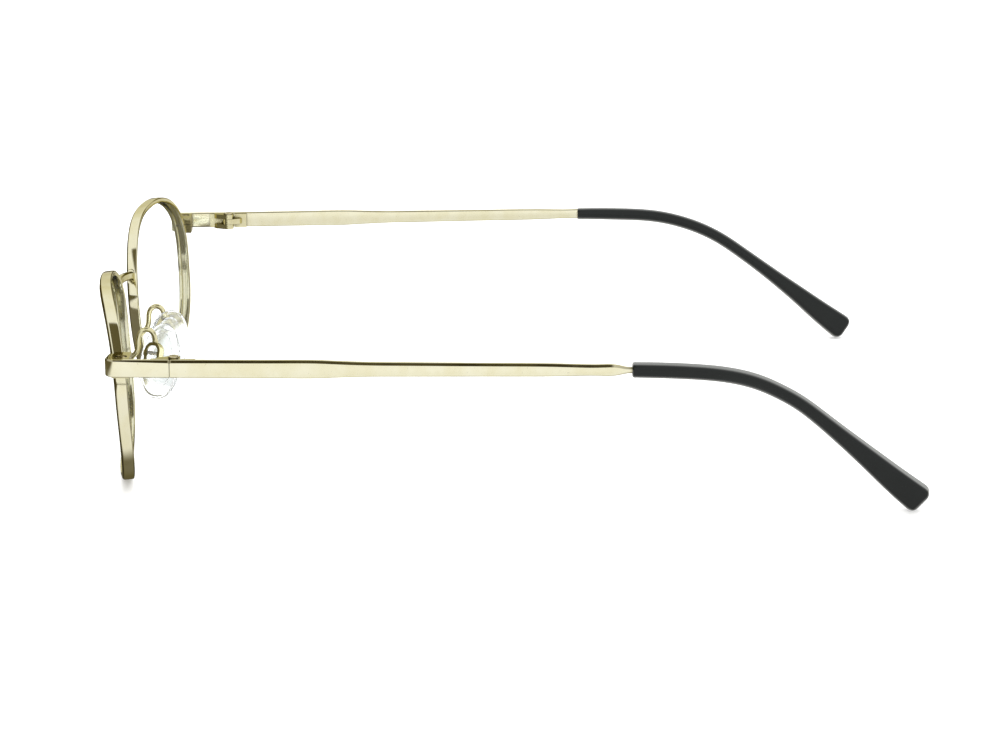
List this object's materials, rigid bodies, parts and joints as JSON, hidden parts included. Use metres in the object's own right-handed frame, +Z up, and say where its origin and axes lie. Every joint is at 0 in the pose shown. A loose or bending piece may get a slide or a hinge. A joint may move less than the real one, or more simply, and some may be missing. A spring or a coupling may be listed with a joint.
{
  "type": "eyeglasses",
  "caption": "Full-rim oval metal eyeglasses with slim tapering temples, dark ear tips, adjustable clear nose pads and folding side arms.",
  "frame": {"origin": "on the table, midway between the temples and midway between the front face and the ends of the ear tips", "axes": "+X wearer's left, -Y the way the wearer faces, +Y back along the temples, +Z up"},
  "size_m": [0.1346, 0.1512, 0.0364],
  "materials": {
    "gold_metal": "polished pale champagne gold plating",
    "screw_metal": "polished",
    "clear_lens": "clear, anti-reflective",
    "black_plastic": "glossy near-black",
    "clear_soft": "clear soft silicone",
    "clear_stiff": "clear stiff plastic"
  },
  "bodies": {
    "front": {"rim_left": "gold_metal", "rim_right": "gold_metal", "lens_left": "clear_lens", "lens_right": "clear_lens", "closing_block_upper_left": "gold_metal", "closing_block_upper_right": "gold_metal", "closing_block_lower_left": "gold_metal", "closing_block_lower_right": "gold_metal", "closing_screw_left": "screw_metal", "closing_screw_right": "screw_metal", "endpiece_left": "gold_metal", "endpiece_right": "gold_metal", "hinge_front_left": "gold_metal", "hinge_front_right": "gold_metal", "hinge_screw_left": "screw_metal", "hinge_screw_right": "screw_metal", "pad_arm_left": "gold_metal", "pad_arm_right": "gold_metal", "pad_box_left": "gold_metal", "pad_box_right": "gold_metal", "pad_screw_left": "screw_metal", "pad_screw_right": "screw_metal", "bridge": "gold_metal"},
    "temple_left_arm": {"temple_left": "gold_metal", "hinge_rear_left": "gold_metal", "ear_tip_left": "black_plastic"},
    "pad_left": {"nose_pad_left": "clear_soft", "pad_core_left": "clear_stiff"},
    "temple_right_arm": {"temple_right": "gold_metal", "hinge_rear_right": "gold_metal", "ear_tip_right": "black_plastic"},
    "pad_right": {"nose_pad_right": "clear_soft", "pad_core_right": "clear_stiff"}
  },
  "joints": [
    {"name": "fold_left", "type": "hinge", "parent": "front", "child": "temple_left_arm", "pos_m": [0.06052, -0.05838, 0.02705], "axis": [0, 0, 1], "range_deg": [0, 91]},
    {"name": "fold_right", "type": "hinge", "parent": "front", "child": "temple_right_arm", "pos_m": [-0.06052, -0.05838, 0.02705], "axis": [0, 0, -1], "range_deg": [0, 83]},
    {"name": "pad_rock_left", "type": "hinge", "parent": "front", "child": "pad_left", "pos_m": [0.00963, -0.06748, 0.01598], "axis": [0.4067, 0.9135, 0], "range_deg": [-7, 7]},
    {"name": "pad_rock_right", "type": "hinge", "parent": "front", "child": "pad_right", "pos_m": [-0.00963, -0.06748, 0.01598], "axis": [0.4067, -0.9135, 0], "range_deg": [-7, 7]}
  ]
}
